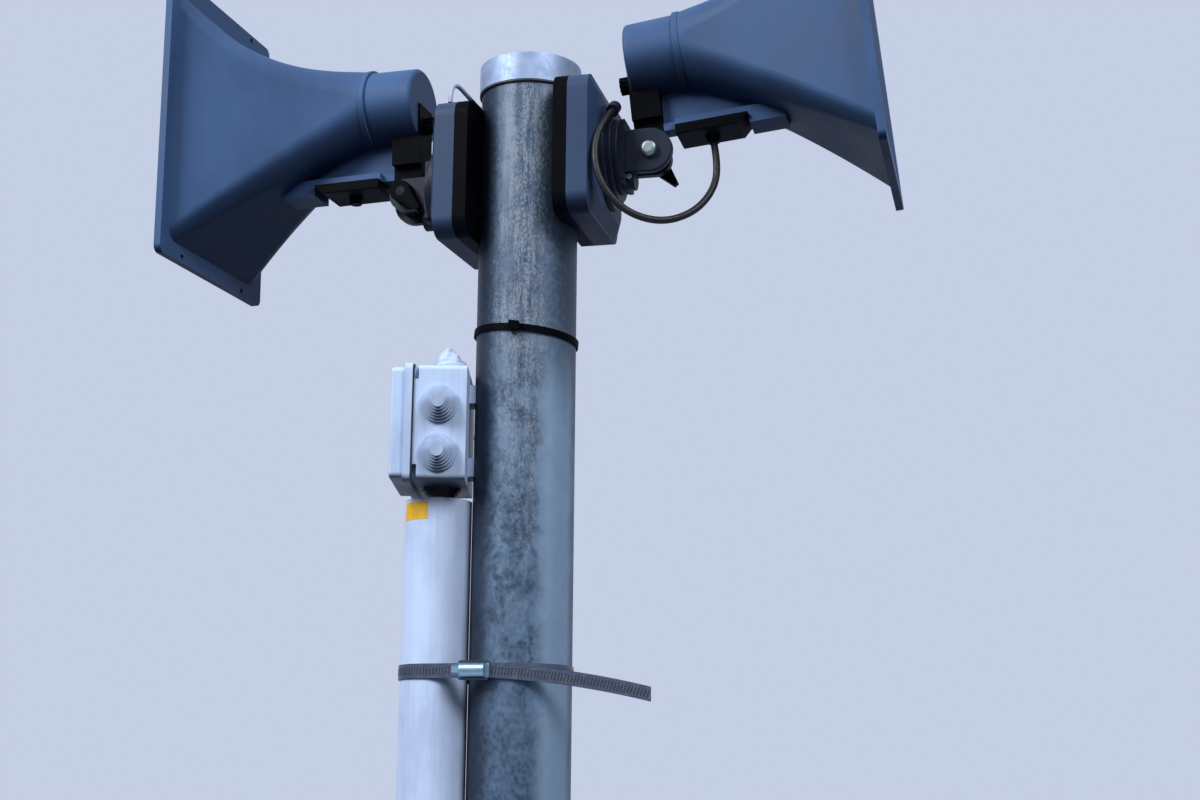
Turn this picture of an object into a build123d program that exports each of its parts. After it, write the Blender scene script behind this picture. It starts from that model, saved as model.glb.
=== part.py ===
"""Warning horn mast: a planted steel tube with two tilting horns, a junction box and a cable pipe.

Millimetres. The origin is the centre of the pole's foot at ground level, +Z is up, +X is to the
right and +Y is away from the viewer who stands in front of the mast.
"""

import os
from math import asin, cos, pi, radians, sin, tan

from build123d import *

os.makedirs("parts", exist_ok=True)

# Clearances between neighbours
seat_gap = 0.3
pin_clearance = 0.08

# Pole and its cap
pole_diameter = 76.1
pole_wall = 3.2
pole_height = 2253.0
foot_plate = 6.0
cap_wall = 1.5
cap_top = 3.0
cap_skirt = 19.5
cap_edge = 1.2

# One horn unit on each side: bearing of its box, pivot below the pole's top, rest tilt of its horn
unit_bearing = {"right": -13.4, "left": 163.0}
unit_drop = {"right": 75.0, "left": 95.0}
rest_tilt = {"right": 6.2, "left": -0.8}

# Wall box of a horn unit: back plate, saddle ribs and housing
box_width = 105.0
box_height = 110.0
box_lift = {"right": -1.5, "left": 6.0}
box_corner = 14.0
plate_reach = 4.7
plate_thickness = 10.8
saddle_width = 56.0
saddle_depth = 7.0
saddle_rib = 8.0
saddle_spacing = 64.0
housing_depth = 16.0
housing_slope = 5.5
housing_land = 84.0
housing_land_corner = 12.0
housing_edge = 1.5
housing_round = 1.5
recess_diameter = 25.0
recess_depth = 6.0

# Swivel disc with its raised rings
disc_diameter = 82.0
disc_steps = 3
disc_step_height = 3.8
disc_step_width = 6.0
disc_edge = 0.8
spigot_length = 5.5

# Boss on the disc where a lead goes in: its mouth, and the way in
entry_mouth = (73.0, -29.3, 27.0)
entry_way = (0.6, 8.5, 7.3)
entry_diameter = 10.0
entry_length = 9.0

# Fork that carries the horn, and its pivot
pivot_reach = 98.5
fork_slot = 16.0
ear_thickness = 6.0
ear_diameter = 35.0
ear_root_height = 34.0
ear_edge = 1.2
far_ear_diameter = 26.0
fork_root_width = 38.0
fork_root_height = 50.0
fork_root_corner = 3.0
lock_boss_diameter = 20.0
lock_boss_drop = 17.0
lock_boss_length = 9.0
fork_root_depth = 3.5
bolt_diameter = 8.0
bolt_head_diameter = 13.0
bolt_head_height = 5.5
bolt_head_round = 3.3
lever_hub_diameter = 17.0
lever_hub_length = 10.0
lever_length = 23.0
lever_root_width = 16.0
lever_tip_width = 4.0
lever_thickness = 6.0
lever_edge = 1.0
lever_angle = {"right": -51.0, "left": -135.0}

# Horn: distances are along its own axis from the pivot, and up from the pivot
axis_rise = 77.5
driver_rear = -9.5
driver_front = 34.5
driver_rear_diameter = 61.0
driver_front_diameter = 63.0
driver_edge = 3.0
ring_diameter = 67.0
ring_width = 5.0
ring_edge = 0.6
rear_cap_diameter = 54.0
rear_cap_thickness = 2.4
knob_diameter = 14.0
knob_length = 8.0
knob_drop = 17.0
knob_flutes = 10
knob_flute_diameter = 2.4
mouth_reach = 180.0
mouth_width = 167.0
mouth_height = 236.0
mouth_drop = 10.0
mouth_border = 9.0
mouth_corner = 6.0
flange_thickness = 6.0
flange_edge = 0.8
throat_diameter = 65.4
bell_wall = 3.0
bell_corner = 11.0
bell_corner_growth = 0.6
bell_sections = 8
flare_below = 1.32
flare_above = 2.8
flare_side = 1.5
screw_hole_diameter = 4.5
screw_hole_side_inset = 34.0
screw_hole_end_inset = 5.0
plug_diameter = 34.0
plug_length = 40.0
plug_round = 15.0

# Arm, moulded rib, terminal box and gland under the horn
knuckle_diameter = 24.0
knuckle_width = 15.0
arm_neck = 26.0
arm_width = 26.0
arm_plate = 1.6
arm_front = 12.0
rib_thickness = 6.0
rib_shelf_top = 21.0
rib_shelf_thickness = 6.0
rib_bottom = 7.5
rib_toe_rear = 78.3
rib_toe_front = 106.0
terminal_rear = 22.0
terminal_front = 78.0
terminal_width = 34.0
terminal_bottom = 7.0
terminal_slant = 8.0
terminal_edge = 1.0
gland_reach = 48.0
gland_diameter = 12.0
gland_tip_diameter = 9.0
gland_length = 6.0

# Share of a cord's shorter run that an arc at its end takes up
arc_share = 0.45

# Lead of the right horn, from its gland to the swivel disc: out, to the far side and up in the unit
lead_diameter = 5.5
lead_route = [
    (146.1, 0.0, 5.9),
    (149.5, 0.0, -14.0),
    (146.0, -8.0, -36.5),
    (133.0, -20.0, -56.0),
    (112.0, -36.0, -67.0),
    (88.0, -47.0, -61.0),
    (71.5, -52.5, -42.0),
    (65.5, -53.5, -23.0),
    (65.0, -50.5, -6.0),
    (67.6, -45.3, 8.5),
    (71.6, -38.2, 19.5),
    (72.9, -29.5, 26.8),
]

# Feed cable, from the left box over its back plate and down the back of the pole: x, y and drop
# below the pole's top
feed_diameter = 3.6
feed_route = [
    (-61.0, -24.0, 33.6),
    (-61.0, -23.0, 21.5),
    (-57.0, -14.0, 14.5),
    (-49.0, 1.0, 19.0),
    (-39.5, 18.0, 24.5),
    (-26.0, 34.0, 26.5),
    (-14.0, 40.2, 37.0),
    (-12.0, 41.2, 66.0),
    (-9.0, 41.5, 121.0),
    (-8.0, 40.8, 173.0),
    (-8.0, 39.9, 217.0),
    (-9.5, 41.5, 239.0),
    (-16.0, 48.0, 256.0),
    (-25.0, 60.0, 267.0),
    (-29.5, 72.7, 274.6),
    (-38.2, 82.6, 276.4),
    (-51.7, 82.6, 276.8),
    (-61.3, 73.0, 276.8),
    (-61.3, 56.3, 276.8),
]

# Cable tie round the pole and the feed cable
tie_drop = 217.0
tie_cable_place = (-8.0, 39.9)
tie_band = 1.4
tie_width = 4.8
tie_tilt = 5.6
tie_gap = 0.6
tie_head = (8.0, 5.5, 6.5)

# Junction box: its lid faces away from the pole, and cone grommets close its entries
junction_width = 86.0
junction_height = 86.0
junction_drop = 247.0
junction_body_depth = 40.0
junction_gap = 3.0
junction_corner = 4.0
notch_depth = 4.5
notch_height = 11.0
notch_width = 7.0
rim_depth = 5.5
rim_step = 1.8
lid_depth = 10.5
lid_inset = 3.1
lid_edge = 2.0
lid_screw_diameter = 7.0
lid_screw_depth = 6.0
lid_screw_inset = 8.0
junction_foot_width = 22.0
junction_foot_height = 14.0
junction_foot_spacing = 56.0
grommet_diameter = 28.0
grommet_tip_diameter = 10.0
grommet_height = 13.0
grommet_rings = 6
grommet_spacing = 36.4
grommet_sink = 5.0
top_grommet_height = 18.0
top_grommet_offset = (7.0, -20.0)

# Plastic cable pipe beside the pole
pipe_diameter = 50.0
pipe_wall = 2.4
pipe_gap = 10.0

# Worm-drive clamps round the pole and the pipe
clamp_drops = {"upper": 470.0, "middle": 1103.0, "lower": 1803.0}
band_width = 10.5
band_thickness = 0.8
worm_length = 23.0
worm_saddle_width = 14.0
worm_saddle_height = 3.0
worm_corner = 2.0
worm_diameter = 11.0
worm_rise = 4.5
worm_body_length = 18.0
worm_screw_diameter = 8.0
worm_screw_length = 6.0
worm_slot_width = 1.2
worm_slot_depth = 1.6
worm_setback = 24.0
tail_length = 117.0
tail_droop = 17.6
tail_bow = 0.35

# Worked out from the sizes above
pole_radius = pole_diameter / 2
plate_front = pole_radius + seat_gap + plate_reach
plate_back = plate_front - plate_thickness
housing_back = plate_front
housing_shoulder = housing_back + housing_depth
housing_front = housing_shoulder + housing_slope
disc_back = housing_front + seat_gap
disc_front = disc_back + disc_steps * disc_step_height
ear_outside = fork_slot / 2 + ear_thickness
pipe_offset = pole_radius + pipe_diameter / 2 + seat_gap
junction_top = pole_height - junction_drop
junction_bottom = junction_top - junction_height
throat_radius = throat_diameter / 2
cap_radius = pole_radius + seat_gap + cap_wall


def write(part, name, frame=Plane.XY):
    """Label a finished sub-part, stand it in its frame and write its STEP file."""
    placed = part.moved(frame.location)
    placed.label = name
    export_step(placed, f"parts/{name}.step")


def unit_frame(side):
    """Frame of one horn unit: x points out of the pole, y sideways and z up."""
    bearing = radians(unit_bearing[side])
    outward = (cos(bearing), sin(bearing), 0)
    height = pole_height - unit_drop[side]
    return Plane(origin=(0, 0, height), x_dir=outward, z_dir=(0, 0, 1))


def horn_frame(side):
    """Frame of one horn: its origin is the pivot and x is the direction in which the horn sounds."""
    unit = unit_frame(side)
    tilt = radians(rest_tilt[side])
    sounding = unit.x_dir * cos(tilt) + unit.z_dir * sin(tilt)
    upward = unit.z_dir * cos(tilt) - unit.x_dir * sin(tilt)
    pivot = unit.from_local_coords(Vector(pivot_reach, 0, 0))
    return Plane(origin=pivot, x_dir=sounding, z_dir=upward)


def make_pole():
    with BuildPart() as pole:
        Cylinder(pole_radius, pole_height, align=(Align.CENTER, Align.CENTER, Align.MIN))
        with BuildSketch(Plane.XY.offset(foot_plate)):
            Circle(pole_radius - pole_wall)
        extrude(amount=pole_height - foot_plate, mode=Mode.SUBTRACT)
    write(pole.part, "pole")


def make_pole_cap():
    with BuildPart() as cap:
        with BuildSketch(Plane.XY.offset(pole_height - cap_skirt)):
            Circle(cap_radius)
        extrude(amount=cap_skirt + cap_top)
        with BuildSketch(Plane.XY.offset(pole_height - cap_skirt)):
            Circle(pole_radius + seat_gap)
        extrude(amount=cap_skirt, mode=Mode.SUBTRACT)
        fillet(cap.edges().filter_by(GeomType.CIRCLE).group_by(Axis.Z)[-1], cap_edge)
    write(cap.part, "pole_cap")


def make_box(side):
    """Back plate with its saddle ribs, and the housing with its sloped front."""
    frame = unit_frame(side)
    with BuildPart() as plate:
        with BuildSketch(Plane.YZ.offset(plate_back)):
            with Locations((0, box_lift[side])):
                RectangleRounded(box_width, box_height, box_corner)
        extrude(amount=plate_thickness)
        with BuildSketch(Plane.YZ.offset(plate_back)):
            with Locations((0, box_lift[side])):
                with GridLocations(0, saddle_spacing, 1, 2):
                    Rectangle(saddle_width, saddle_rib)
        extrude(amount=-saddle_depth)
        with BuildSketch(Plane.XY.offset(box_lift[side] - box_height / 2)):
            Circle(pole_radius + seat_gap)
        extrude(amount=box_height, mode=Mode.SUBTRACT)
        with BuildSketch(Plane.XY.offset(unit_drop[side] - cap_skirt - seat_gap)):
            Circle(cap_radius + seat_gap)
        extrude(amount=box_height, mode=Mode.SUBTRACT)
    write(plate.part, f"back_plate_{side}", frame)

    with BuildPart() as housing:
        with BuildSketch(Plane.YZ.offset(housing_back)):
            with Locations((0, box_lift[side])):
                RectangleRounded(box_width, box_height, box_corner)
        extrude(amount=housing_depth)
        with BuildSketch(Plane.YZ.offset(housing_shoulder)):
            with Locations((0, box_lift[side])):
                RectangleRounded(
                    box_width - 2 * housing_edge, box_height - 2 * housing_edge, box_corner - housing_edge
                )
        with BuildSketch(Plane.YZ.offset(housing_front)):
            with Locations((0, box_lift[side])):
                RectangleRounded(housing_land, housing_land, housing_land_corner)
        loft()
        fillet(housing.faces().sort_by(Axis.X)[-1].edges(), housing_round)
        with BuildSketch(Plane.YZ.offset(housing_front)):
            Circle(recess_diameter / 2)
        extrude(amount=-recess_depth, mode=Mode.SUBTRACT)
    write(housing.part, f"housing_{side}", frame)


def make_swivel(side):
    """Ringed disc, fork with its lock boss, pivot bolt and wing lever."""
    frame = unit_frame(side)
    with BuildPart() as disc:
        for step in range(disc_steps):
            with BuildSketch(Plane.YZ.offset(disc_back + step * disc_step_height)):
                Circle(disc_diameter / 2 - step * disc_step_width)
            extrude(amount=disc_step_height)
        outer_rims = [
            face.edges().filter_by(GeomType.CIRCLE).sort_by(SortBy.RADIUS)[-1]
            for face in disc.faces().filter_by(Axis.X).sort_by(Axis.X)[1:]
        ]
        fillet(outer_rims, disc_edge)
        with BuildSketch(Plane.YZ.offset(disc_back)):
            Circle(recess_diameter / 2 - seat_gap)
        extrude(amount=-spigot_length)
        with BuildSketch(Plane(origin=entry_mouth, z_dir=entry_way)):
            Circle(entry_diameter / 2)
        extrude(amount=entry_length)
    write(disc.part, f"swivel_disc_{side}", frame)

    with BuildPart() as fork:
        with BuildSketch(Plane.XZ.offset(ear_outside)):
            with Locations((disc_front + fork_root_depth / 2, 0)):
                Rectangle(fork_root_depth, ear_root_height)
            with Locations((pivot_reach, 0)):
                Circle(ear_diameter / 2)
            make_hull()
        extrude(amount=-ear_thickness)
        rim = fork.faces().sort_by(Axis.Y)[0].edges().filter_by_position(
            Axis.X, disc_front + fork_root_depth / 2, pivot_reach + ear_diameter
        )
        fillet(rim, ear_edge)
        with BuildSketch(Plane.XZ.offset(-fork_slot / 2)):
            with Locations((disc_front + fork_root_depth / 2, 0)):
                Rectangle(fork_root_depth, far_ear_diameter)
            with Locations((pivot_reach, 0)):
                Circle(far_ear_diameter / 2)
            make_hull()
        extrude(amount=-ear_thickness)
        with BuildSketch(Plane.YZ.offset(disc_front)):
            RectangleRounded(fork_root_width, fork_root_height, fork_root_corner)
        extrude(amount=fork_root_depth)
        with BuildSketch(Plane.YZ.offset(disc_front)):
            with Locations((0, -lock_boss_drop)):
                Circle(lock_boss_diameter / 2)
        extrude(amount=lock_boss_length)
        with BuildSketch(Plane.XZ.offset(-ear_outside)):
            with Locations((pivot_reach, 0)):
                Circle(bolt_diameter / 2 + pin_clearance)
        extrude(amount=2 * ear_outside, mode=Mode.SUBTRACT)
    write(fork.part, f"fork_{side}", frame)

    with BuildPart() as bolt:
        with BuildSketch(Plane.XZ.offset(ear_outside)):
            with Locations((pivot_reach, 0)):
                Circle(bolt_head_diameter / 2)
        extrude(amount=bolt_head_height)
        fillet(bolt.faces().sort_by(Axis.Y)[0].edges(), bolt_head_round)
        with BuildSketch(Plane.XZ.offset(ear_outside)):
            with Locations((pivot_reach, 0)):
                Circle(bolt_diameter / 2)
        extrude(amount=-(2 * ear_outside + lever_hub_length))
    write(bolt.part, f"pivot_bolt_{side}", frame)

    lever_back = ear_outside + seat_gap
    pointing = radians(lever_angle[side])
    hub_plane = Plane(
        origin=(pivot_reach, lever_back, 0),
        x_dir=(cos(pointing), 0, sin(pointing)),
        z_dir=(0, 1, 0),
    )
    with BuildPart() as lever:
        with BuildSketch(hub_plane):
            Circle(lever_hub_diameter / 2)
        extrude(amount=lever_hub_length)
        with BuildSketch(hub_plane.offset(lever_hub_length - lever_thickness)):
            with BuildLine():
                Polyline(
                    (0, -lever_root_width / 2),
                    (lever_length, -lever_tip_width / 2),
                    (lever_length, lever_tip_width / 2),
                    (0, lever_root_width / 2),
                    close=True,
                )
            make_face()
        extrude(amount=lever_thickness)
        fillet(lever.faces().sort_by(Axis.Y)[-1].edges(), lever_edge)
        with BuildSketch(hub_plane):
            Circle(bolt_diameter / 2 + pin_clearance)
        extrude(amount=lever_hub_length, mode=Mode.SUBTRACT)
    write(lever.part, f"wing_lever_{side}", frame)


def driver_outline():
    """Turned outline of the driver behind the bell, drawn above its axis."""
    with BuildSketch(Plane.XZ) as outline:
        with BuildLine():
            Polyline(
                (driver_rear, axis_rise),
                (driver_rear, axis_rise + driver_rear_diameter / 2),
                (driver_front - ring_width, axis_rise + driver_front_diameter / 2),
                (driver_front - ring_width, axis_rise + ring_diameter / 2),
                (driver_front, axis_rise + ring_diameter / 2),
                (driver_front, axis_rise),
                close=True,
            )
        make_face()
    return outline.sketch


def bell_section(step, wall):
    """Size of one bell section: reach, half width, rise above and drop below the axis, corner."""
    share = step / (bell_sections - 1)
    reach = driver_front + share * (mouth_reach - driver_front)
    mouth_side = mouth_width / 2 - mouth_border
    mouth_above = mouth_height / 2 - mouth_drop - mouth_border
    mouth_below = mouth_height / 2 + mouth_drop - mouth_border
    side = throat_radius + (mouth_side - throat_radius) * share**flare_side
    above = throat_radius + (mouth_above - throat_radius) * share**flare_above
    below = throat_radius + (mouth_below - throat_radius) * share**flare_below
    corner = throat_radius + (bell_corner - throat_radius) * share**bell_corner_growth - seat_gap
    return reach, side - wall, above - wall, below - wall, corner - wall * share


def bell_body(wall):
    """Flared body of the bell, or with a wall thickness the hollow inside it."""
    with BuildPart() as body:
        for step in range(bell_sections):
            reach, side, above, below, corner = bell_section(step, wall)
            middle = axis_rise + (above - below) / 2
            with BuildSketch(Plane.YZ.offset(reach)):
                with Locations((0, middle)):
                    RectangleRounded(2 * side, above + below, min(corner, side - seat_gap))
        loft()
    return body.part


def make_horn(side):
    """Driver with its cap and knob, bell, phase plug, arm, rib, terminal box and gland."""
    frame = horn_frame(side)
    axis_line = Axis((0, 0, axis_rise), (1, 0, 0))
    with BuildPart() as driver:
        add(driver_outline())
        revolve(axis=axis_line)
        fillet(driver.edges().filter_by(GeomType.CIRCLE).group_by(Axis.X)[0], driver_edge)
        ring_rims = driver.edges().filter_by(GeomType.CIRCLE).sort_by(SortBy.RADIUS)[-2:]
        fillet(ring_rims, ring_edge)
        with BuildSketch(Plane.YZ.offset(driver_rear)):
            with Locations((0, axis_rise)):
                Circle(rear_cap_diameter / 2)
        extrude(amount=rear_cap_thickness, mode=Mode.SUBTRACT)
    write(driver.part, f"driver_{side}", frame)

    with BuildPart() as rear_cap:
        with BuildSketch(Plane.YZ.offset(driver_rear + rear_cap_thickness)):
            with Locations((0, axis_rise)):
                Circle(rear_cap_diameter / 2 - seat_gap)
        extrude(amount=-rear_cap_thickness)
    write(rear_cap.part, f"rear_cap_{side}", frame)

    with BuildPart() as knob:
        with BuildSketch(Plane.YZ.offset(driver_rear - arm_plate)):
            with Locations((0, axis_rise - knob_drop)):
                Circle(knob_diameter / 2)
                with PolarLocations(knob_diameter / 2, knob_flutes):
                    Circle(knob_flute_diameter / 2, mode=Mode.SUBTRACT)
        extrude(amount=-knob_length)
    write(knob.part, f"tap_knob_{side}", frame)

    outer_bell = bell_body(0)
    inner_bell = bell_body(bell_wall)
    mouth_height_centre = axis_rise - mouth_drop
    with BuildPart() as bell:
        add(outer_bell)
        with BuildSketch(Plane.YZ.offset(mouth_reach - flange_thickness)):
            with Locations((0, mouth_height_centre)):
                RectangleRounded(mouth_width, mouth_height, mouth_corner)
        extrude(amount=flange_thickness)
        fillet(bell.faces().sort_by(Axis.X)[-1].edges(), flange_edge)
        add(inner_bell, mode=Mode.SUBTRACT)
        with BuildSketch(Plane.YZ.offset(mouth_reach)):
            with Locations((0, mouth_height_centre)):
                with GridLocations(
                    mouth_width - 2 * screw_hole_side_inset,
                    mouth_height - 2 * screw_hole_end_inset,
                    2,
                    2,
                ):
                    Circle(screw_hole_diameter / 2)
        extrude(amount=-flange_thickness, mode=Mode.SUBTRACT)
    write(bell.part, f"bell_{side}", frame)

    with BuildPart() as plug:
        with BuildSketch(Plane.YZ.offset(driver_front)):
            with Locations((0, axis_rise)):
                Circle(plug_diameter / 2)
        extrude(amount=plug_length)
        fillet(plug.faces().sort_by(Axis.X)[-1].edges(), plug_round)
    write(plug.part, f"phase_plug_{side}", frame)

    with BuildPart() as arm:
        with BuildSketch(Plane.XZ.offset(-knuckle_width / 2)):
            with BuildLine():
                Polyline(
                    (driver_rear - arm_plate, 0),
                    (arm_front, 0),
                    (arm_front, arm_neck),
                    (driver_rear - arm_plate, arm_neck),
                    close=True,
                )
            make_face()
            Circle(knuckle_diameter / 2)
        extrude(amount=knuckle_width)
        with BuildSketch(Plane.XZ.offset(-arm_width / 2)):
            with BuildLine():
                Polyline(
                    (driver_rear - arm_plate, arm_neck),
                    (arm_front, arm_neck),
                    (arm_front, axis_rise - driver_rear_diameter / 4),
                    (driver_rear, axis_rise - driver_rear_diameter / 4),
                    (driver_rear, axis_rise - arm_plate),
                    (driver_rear - arm_plate, axis_rise - arm_plate),
                    close=True,
                )
            make_face()
        extrude(amount=arm_width)
        add(driver.part, mode=Mode.SUBTRACT)
        add(rear_cap.part, mode=Mode.SUBTRACT)
        with BuildSketch(Plane.XZ.offset(-arm_width / 2)):
            Circle(bolt_diameter / 2 + pin_clearance)
        extrude(amount=arm_width, mode=Mode.SUBTRACT)
    write(arm.part, f"horn_arm_{side}", frame)

    shelf_bottom = rib_shelf_top - rib_shelf_thickness
    with BuildPart() as rib:
        with BuildSketch(Plane.XZ.offset(-rib_thickness / 2)):
            with Locations(((arm_front + rib_toe_front) / 2, (rib_shelf_top + axis_rise) / 2)):
                Rectangle(rib_toe_front - arm_front, axis_rise - rib_shelf_top)
        extrude(amount=rib_thickness)
        with BuildSketch(Plane.XZ.offset(-knuckle_width / 2)):
            with Locations(((arm_front + terminal_rear) / 2, rib_shelf_top - rib_shelf_thickness / 2)):
                Rectangle(terminal_rear - arm_front, rib_shelf_thickness)
        extrude(amount=knuckle_width)
        with BuildSketch(Plane.XZ.offset(-arm_width / 2)):
            with BuildLine():
                Polyline(
                    (terminal_rear, shelf_bottom),
                    (rib_toe_rear, shelf_bottom),
                    (rib_toe_rear, rib_bottom),
                    (rib_toe_front, rib_bottom),
                    (rib_toe_front, rib_shelf_top),
                    (terminal_rear, rib_shelf_top),
                    close=True,
                )
            make_face()
        extrude(amount=arm_width)
        add(driver.part, mode=Mode.SUBTRACT)
        add(outer_bell, mode=Mode.SUBTRACT)
    write(rib.part, f"bell_rib_{side}", frame)

    with BuildPart() as terminal:
        with BuildSketch(Plane.XZ.offset(-terminal_width / 2)):
            with BuildLine():
                Polyline(
                    (terminal_rear, terminal_bottom),
                    (terminal_front - terminal_slant, terminal_bottom),
                    (terminal_front, shelf_bottom),
                    (terminal_rear, shelf_bottom),
                    close=True,
                )
            make_face()
        extrude(amount=terminal_width)
        fillet(terminal.faces().sort_by(Axis.Z)[0].edges(), terminal_edge)
    write(terminal.part, f"terminal_box_{side}", frame)

    with BuildPart() as gland:
        with BuildSketch(Plane.XY.offset(terminal_bottom)):
            with Locations((gland_reach, 0)):
                Circle(gland_diameter / 2)
        with BuildSketch(Plane.XY.offset(terminal_bottom - gland_length)):
            with Locations((gland_reach, 0)):
                Circle(gland_tip_diameter / 2)
        loft()
    write(gland.part, f"lead_gland_{side}", frame)


def cord_tube(route, diameter, name):
    """Tube along straight runs joined by tangent arcs, as large as the runs beside them allow."""
    points = [Vector(*point) for point in route]
    radii = []
    for before, corner, after in zip(points, points[1:], points[2:]):
        turn = (corner - before).get_angle(after - corner)
        shorter = min((corner - before).length, (after - corner).length)
        radii.append(arc_share * shorter / tan(radians(turn / 2)))
    print(name, "radii", [round(radius, 1) for radius in radii])
    with BuildPart() as tube:
        with BuildLine() as path:
            FilletPolyline(*points, radius=radii)
        with BuildSketch(Plane(origin=points[0], z_dir=points[1] - points[0])):
            Circle(diameter / 2)
        sweep()
    length = sum(edge.length for edge in path.edges())
    expected = pi * diameter**2 / 4 * length
    print(name, "length", round(length, 1), "volume share", round(tube.part.volume / expected, 4))
    return tube.part


def make_right_lead():
    write(cord_tube(lead_route, lead_diameter, "lead_right"), "lead_right", unit_frame("right"))


def make_feed_cable():
    route = [(x, y, pole_height - drop) for x, y, drop in feed_route]
    write(cord_tube(route, feed_diameter, "feed_cable"), "feed_cable")


def belt(plane, first, second, first_radius, second_radius, thickness, width):
    """Closed band drawn tight round two circles, standing on the plane by half its width."""
    with BuildPart() as loop:
        for wall in (thickness, 0):
            with BuildSketch(plane.offset(-width / 2)):
                with Locations(first):
                    Circle(first_radius + wall)
                with Locations(second):
                    Circle(second_radius + wall)
                make_hull()
            extrude(amount=width, mode=Mode.ADD if wall else Mode.SUBTRACT)
    return loop.part


def make_cable_tie():
    lean = radians(tie_tilt)
    plane = Plane(
        origin=(0, 0, pole_height - tie_drop),
        x_dir=(cos(lean), 0, -sin(lean)),
        z_dir=(sin(lean), 0, cos(lean)),
    )
    band = belt(
        plane, (0, 0), tie_cable_place, pole_radius + tie_gap,
        feed_diameter / 2 + tie_gap, tie_band, tie_width,
    )
    head_place = pole_radius + tie_gap + tie_head[1] / 2
    with BuildPart() as tie:
        add(band)
        with Locations(plane.location * Location((-tie_head[0], -head_place, 0))):
            Box(*tie_head)
    write(tie.part, "cable_tie")


def make_junction_box():
    """Body with saddle feet and corner notches, and the lid with its rim and screw wells."""
    back = -(pole_radius + seat_gap + junction_gap)
    front = back - junction_body_depth
    middle = junction_bottom + junction_height / 2
    with BuildPart() as body:
        with BuildSketch(Plane.YZ.offset(back)):
            with Locations((0, middle)):
                RectangleRounded(junction_width, junction_height, junction_corner)
        extrude(amount=-junction_body_depth)
        with BuildSketch(Plane.YZ.offset(back)):
            with Locations((0, middle)):
                with GridLocations(0, junction_foot_spacing, 1, 2):
                    Rectangle(junction_foot_width, junction_foot_height)
        extrude(amount=junction_gap + pole_radius / 3)
        with BuildSketch(Plane.XY.offset(junction_bottom)):
            Circle(pole_radius + seat_gap)
        extrude(amount=junction_height, mode=Mode.SUBTRACT)
        with BuildSketch(Plane.YZ.offset(front)):
            with Locations((0, middle)):
                with GridLocations(junction_width, junction_height, 2, 2):
                    Rectangle(2 * notch_width, 2 * notch_height)
        extrude(amount=notch_depth, mode=Mode.SUBTRACT)
    write(body.part, "junction_body")

    rim_width = junction_width + 2 * rim_step
    rim_height = junction_height + 2 * rim_step
    with BuildPart() as lid:
        with BuildSketch(Plane.YZ.offset(front)):
            with Locations((0, middle)):
                RectangleRounded(rim_width, rim_height, junction_corner + rim_step)
        extrude(amount=-rim_depth)
        with BuildSketch(Plane.YZ.offset(front - rim_depth)):
            with Locations((0, middle)):
                RectangleRounded(rim_width - 2 * lid_inset, rim_height - 2 * lid_inset, junction_corner)
        extrude(amount=-lid_depth)
        fillet(lid.faces().sort_by(Axis.X)[0].edges(), lid_edge)
        with BuildSketch(Plane.YZ.offset(front - rim_depth - lid_depth)):
            with Locations((0, middle)):
                with GridLocations(
                    junction_width - 2 * lid_screw_inset, junction_height - 2 * lid_screw_inset, 2, 2
                ):
                    Circle(lid_screw_diameter / 2)
        extrude(amount=lid_screw_depth, mode=Mode.SUBTRACT)
    write(lid.part, "junction_lid")


def make_grommets():
    """Ringed cones in the entries of the junction box; the lower one closes the pipe."""
    across = -(pole_radius + seat_gap + junction_gap + junction_body_depth / 2)
    middle = junction_bottom + junction_height / 2 - grommet_sink
    half_width = junction_width / 2
    along, aside = top_grommet_offset
    places = {
        "top": Plane(origin=(across + along, aside, junction_top), z_dir=(0, 0, 1)),
        "bottom": Plane(origin=(across, 0, junction_bottom), z_dir=(0, 0, -1)),
    }
    for level, name in ((-grommet_spacing / 2, "lower"), (grommet_spacing / 2, "upper")):
        places[f"near_{name}"] = Plane(origin=(across, -half_width, middle + level), z_dir=(0, -1, 0))
        places[f"far_{name}"] = Plane(origin=(across, half_width, middle + level), z_dir=(0, 1, 0))
    step_width = (grommet_diameter - grommet_tip_diameter) / 2 / (grommet_rings - 1)
    for name, plane in places.items():
        step_height = (top_grommet_height if name == "top" else grommet_height) / grommet_rings
        with BuildPart() as grommet:
            for ring in range(grommet_rings):
                with BuildSketch(plane.offset(ring * step_height)):
                    Circle(grommet_diameter / 2 - ring * step_width)
                extrude(amount=step_height)
        write(grommet.part, f"grommet_{name}")


def make_pipe():
    with BuildPart() as pipe:
        with BuildSketch():
            with Locations((-pipe_offset, 0)):
                Circle(pipe_diameter / 2)
                Circle(pipe_diameter / 2 - pipe_wall, mode=Mode.SUBTRACT)
        extrude(amount=junction_bottom - pipe_gap)
    write(pipe.part, "cable_pipe")


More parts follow.
